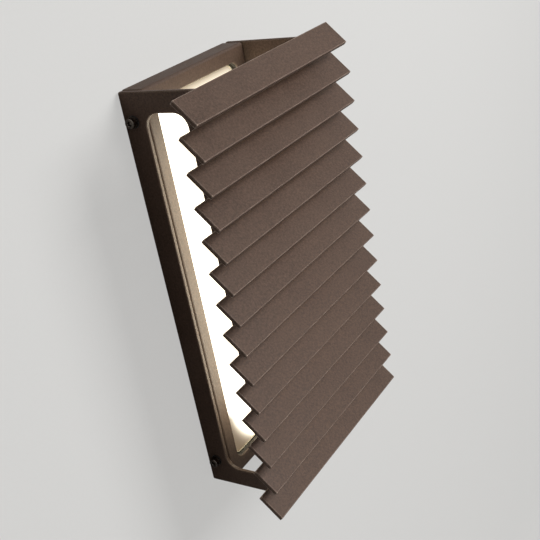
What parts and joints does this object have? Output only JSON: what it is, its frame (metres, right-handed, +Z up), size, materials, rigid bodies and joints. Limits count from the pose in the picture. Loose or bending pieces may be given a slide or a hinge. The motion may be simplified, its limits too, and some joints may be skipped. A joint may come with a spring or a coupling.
{
  "type": "outdoor wall light",
  "caption": "Outdoor wall light: a lit opal panel in a wall tray, inside a cage of windowed side plates and slanted louvers.",
  "frame": {"origin": "on the wall plane, at the middle of the light's side plates in width and height", "axes": "+X along the louvers to the right seen from the front, +Y into the wall, +Z up"},
  "size_m": [0.186, 0.0818, 0.3025],
  "materials": {
    "bronze_coat": "fine textured powder coat, dark bronze, on aluminium",
    "white_coat": "smooth white coat",
    "opal": "opal acrylic, satin",
    "black_rubber": "matt",
    "steel": "plain zinc or stainless",
    "dark_steel": "darkened stainless",
    "nylon": "matt",
    "white_board": "white solder mask",
    "light_source": "phosphor resin",
    "black_moulding": "moulded packages",
    "grey_moulding": "moulded",
    "lead_insulation": "wire insulation",
    "brass": "plain"
  },
  "bodies": {
    "root": {"side_plate_left": "bronze_coat", "side_plate_right": "bronze_coat", "housing": "bronze_coat", "louver_01": "bronze_coat", "louver_02": "bronze_coat", "louver_03": "bronze_coat", "louver_04": "bronze_coat", "louver_05": "bronze_coat", "louver_06": "bronze_coat", "louver_07": "bronze_coat", "louver_08": "bronze_coat", "louver_09": "bronze_coat", "louver_10": "bronze_coat", "louver_11": "bronze_coat", "louver_12": "bronze_coat", "louver_13": "bronze_coat", "louver_14": "bronze_coat", "base_plate": "white_coat", "diffuser_retainer": "white_coat", "diffuser": "opal", "diffuser_gasket": "black_rubber", "wall_pad": "black_rubber", "cable_grommet": "black_rubber", "seal_washers": "black_rubber", "retainer_studs": "steel", "retainer_nuts": "steel", "board_screws": "steel", "terminal_screws": "steel", "side_washers": "steel", "side_nuts": "steel", "side_screws": "dark_steel", "side_spacers": "nylon", "led_board": "white_board", "led_chips": "light_source", "drive_parts": "black_moulding", "terminal_block": "grey_moulding", "board_leads": "lead_insulation", "earth_screw": "brass", "earth_washer": "brass"}
  },
  "joints": []
}
